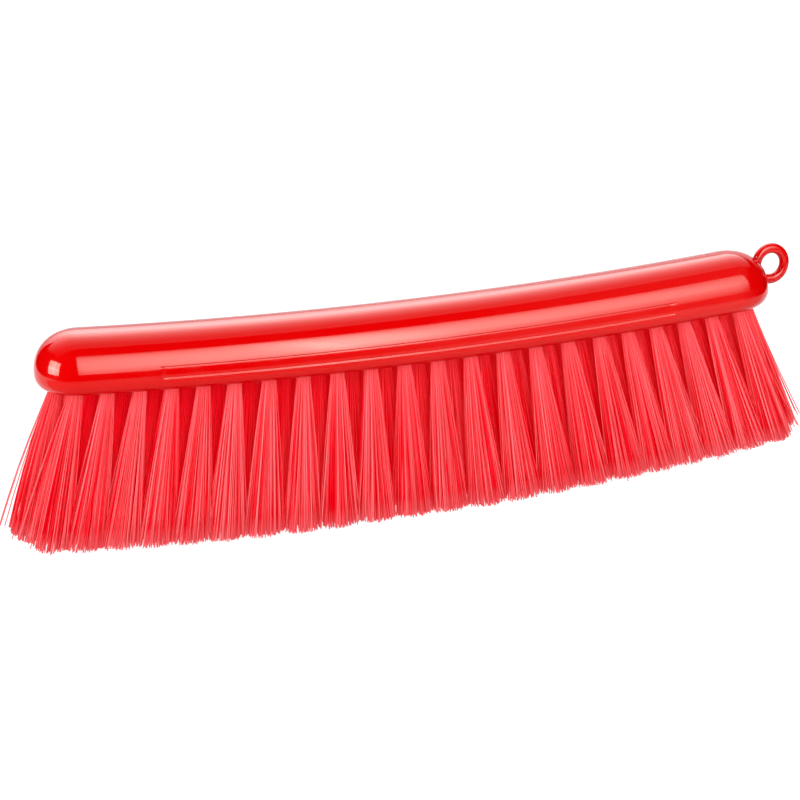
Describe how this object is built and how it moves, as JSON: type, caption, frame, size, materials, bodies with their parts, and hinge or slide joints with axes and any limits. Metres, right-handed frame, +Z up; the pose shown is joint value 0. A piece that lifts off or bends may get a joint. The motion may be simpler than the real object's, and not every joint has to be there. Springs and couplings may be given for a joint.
{
  "type": "flour brush",
  "caption": "Long curved hand brush for sweeping flour: moulded block with a hanging eye and three rows of soft fanned bristle tufts.",
  "frame": {"origin": "On the floor under the middle of the block, where the middle row's central tuft stands.", "axes": "+X along the block towards the hanging eye, +Y across the block to its back side, +Z up from the bristle tips to the block."},
  "size_m": [0.3333, 0.035, 0.0927],
  "materials": {
    "block_plastic": "gloss",
    "filament": "satin"
  },
  "bodies": {
    "root": {"block": "block_plastic", "middle_row": "filament", "tuft_back_01": "filament", "tuft_back_02": "filament", "tuft_back_03": "filament", "tuft_back_04": "filament", "tuft_back_05": "filament", "tuft_back_06": "filament", "tuft_back_07": "filament", "tuft_back_08": "filament", "tuft_back_09": "filament", "tuft_back_10": "filament", "tuft_back_11": "filament", "tuft_back_12": "filament", "tuft_back_13": "filament", "tuft_back_14": "filament", "tuft_back_15": "filament", "tuft_back_16": "filament", "tuft_back_17": "filament", "tuft_back_18": "filament", "tuft_back_19": "filament", "tuft_back_20": "filament", "tuft_back_21": "filament", "tuft_back_22": "filament", "tuft_front_01": "filament", "tuft_front_02": "filament", "tuft_front_03": "filament", "tuft_front_04": "filament", "tuft_front_05": "filament", "tuft_front_06": "filament", "tuft_front_07": "filament", "tuft_front_08": "filament", "tuft_front_09": "filament", "tuft_front_10": "filament", "tuft_front_11": "filament", "tuft_front_12": "filament", "tuft_front_13": "filament", "tuft_front_14": "filament", "tuft_front_15": "filament", "tuft_front_16": "filament", "tuft_front_17": "filament", "tuft_front_18": "filament", "tuft_front_19": "filament", "tuft_front_20": "filament", "tuft_front_21": "filament", "tuft_front_22": "filament"}
  },
  "joints": []
}
